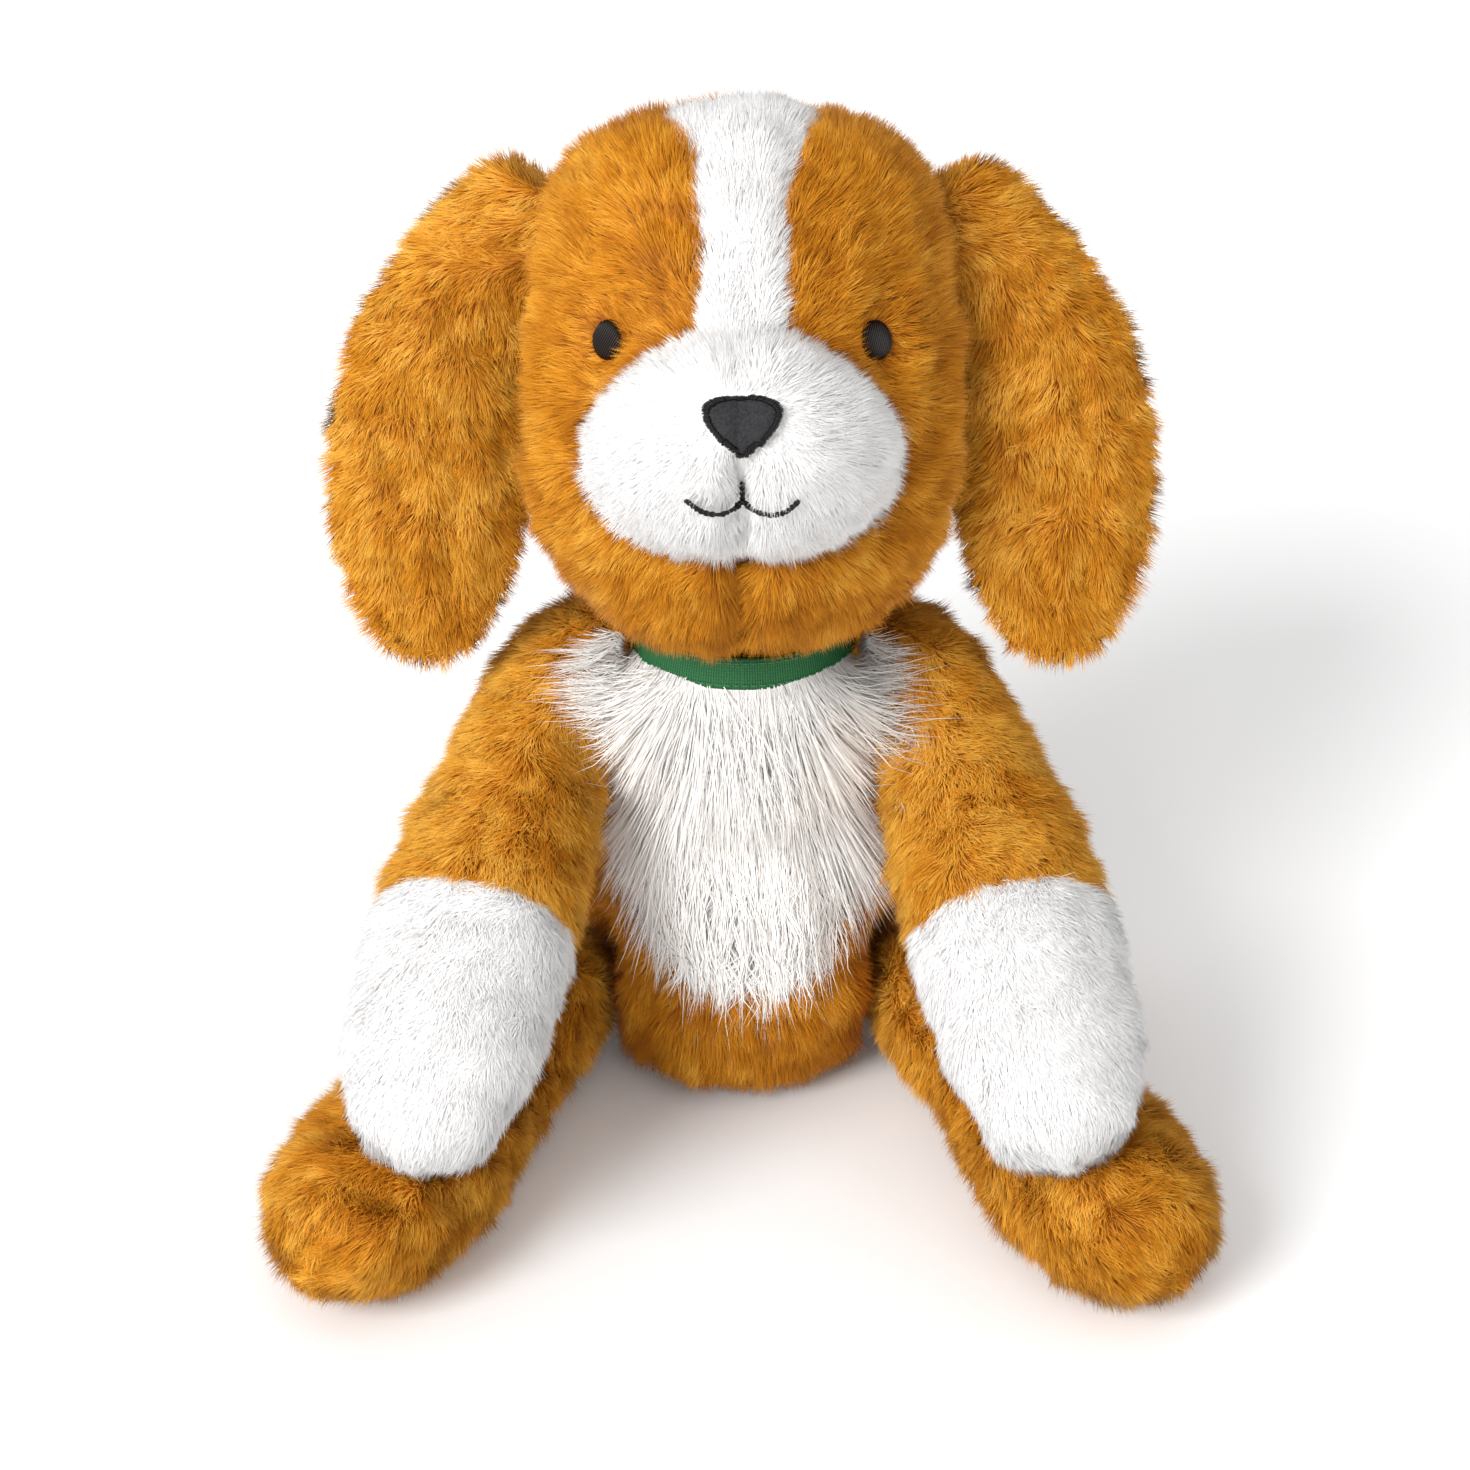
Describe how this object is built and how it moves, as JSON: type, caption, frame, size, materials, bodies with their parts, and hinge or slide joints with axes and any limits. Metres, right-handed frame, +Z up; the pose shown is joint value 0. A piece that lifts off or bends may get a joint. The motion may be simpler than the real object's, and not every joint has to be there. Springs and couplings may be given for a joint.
{
  "type": "plush dog",
  "caption": "Seated soft toy dog with a stuffed head that nods and turns, hanging ears, swinging arms, splayed legs, a short tail and a flat seat.",
  "frame": {"origin": "on the flat underside of the seat, below the middle of the torso", "axes": "+Z up from the seat, the dog looks along -Y, its left side is towards +X"},
  "size_m": [0.2744, 0.2555, 0.2995],
  "materials": {
    "gold_plush": "matte",
    "white_plush": "matte",
    "long_pile": "matte",
    "ribbon": "matte",
    "thread": "matte",
    "stuffing": "matte",
    "pellet_cloth": "matte",
    "label_satin": "matte"
  },
  "bodies": {
    "torso": {"torso_back_cover_left": "gold_plush", "torso_back_cover_right": "gold_plush", "torso_front_cover": "gold_plush", "seat_base": "gold_plush", "torso_stuffing": "stuffing", "pellet_bag": "pellet_cloth", "collar_ribbon": "ribbon", "chest_bib": "long_pile", "care_label": "label_satin"},
    "neck": {"neck_stuffing": "stuffing"},
    "head": {"head_side_panel_left": "gold_plush", "head_back_panel_left": "gold_plush", "muzzle_panel_left": "white_plush", "eye_left": "thread", "head_side_panel_right": "gold_plush", "head_back_panel_right": "gold_plush", "muzzle_panel_right": "white_plush", "eye_right": "thread", "blaze_panel": "white_plush", "head_stuffing": "stuffing", "nose": "thread", "mouth_stitching": "thread"},
    "tail": {"tail_cover": "gold_plush", "tail_stuffing": "stuffing"},
    "ear_left": {"ear_front_panel_left": "gold_plush", "ear_back_panel_left": "gold_plush"},
    "arm_left": {"arm_sleeve_left": "gold_plush", "paw_left": "white_plush", "arm_stuffing_left": "stuffing"},
    "leg_left": {"leg_upper_cover_left": "gold_plush", "leg_under_cover_left": "gold_plush", "leg_stuffing_left": "stuffing"},
    "ear_right": {"ear_front_panel_right": "gold_plush", "ear_back_panel_right": "gold_plush"},
    "arm_right": {"arm_sleeve_right": "gold_plush", "paw_right": "white_plush", "arm_stuffing_right": "stuffing"},
    "leg_right": {"leg_upper_cover_right": "gold_plush", "leg_under_cover_right": "gold_plush", "leg_stuffing_right": "stuffing"}
  },
  "joints": [
    {"name": "neck_nod", "type": "hinge", "parent": "torso", "child": "neck", "pos_m": [0, 0.004, 0.143], "axis": [-1, 0, 0], "range_deg": [-4, 12], "stiffness_Nm_per_rad": 1.2},
    {"name": "head_turn", "type": "hinge", "parent": "neck", "child": "head", "pos_m": [0, 0.004, 0.143], "axis": [0, 0, 1], "range_deg": [-30, 30], "stiffness_Nm_per_rad": 0.4},
    {"name": "ear_lift_left", "type": "hinge", "parent": "head", "child": "ear_left", "pos_m": [0.05, 0.02099, 0.26227], "axis": [0, -0.9205, 0.3907], "range_deg": [0, 90]},
    {"name": "ear_lift_right", "type": "hinge", "parent": "head", "child": "ear_right", "pos_m": [-0.05, 0.02099, 0.26227], "axis": [0, 0.9205, -0.3907], "range_deg": [0, 90]},
    {"name": "arm_swing_left", "type": "hinge", "parent": "torso", "child": "arm_left", "pos_m": [0.048, 0, 0.121], "axis": [-1, 0, 0], "range_deg": [0, 26]},
    {"name": "arm_swing_right", "type": "hinge", "parent": "torso", "child": "arm_right", "pos_m": [-0.048, 0, 0.121], "axis": [-1, 0, 0], "range_deg": [0, 26]},
    {"name": "leg_splay_left", "type": "hinge", "parent": "torso", "child": "leg_left", "pos_m": [0.06, -0.028, 0.027], "axis": [0, 0, 1], "range_deg": [-4, 24]},
    {"name": "leg_splay_right", "type": "hinge", "parent": "torso", "child": "leg_right", "pos_m": [-0.06, -0.028, 0.027], "axis": [0, 0, -1], "range_deg": [-4, 24]},
    {"name": "tail_wag", "type": "hinge", "parent": "torso", "child": "tail", "pos_m": [0, 0.042, 0.02], "axis": [0, 0, 1], "range_deg": [-25, 25], "stiffness_Nm_per_rad": 0.05}
  ]
}
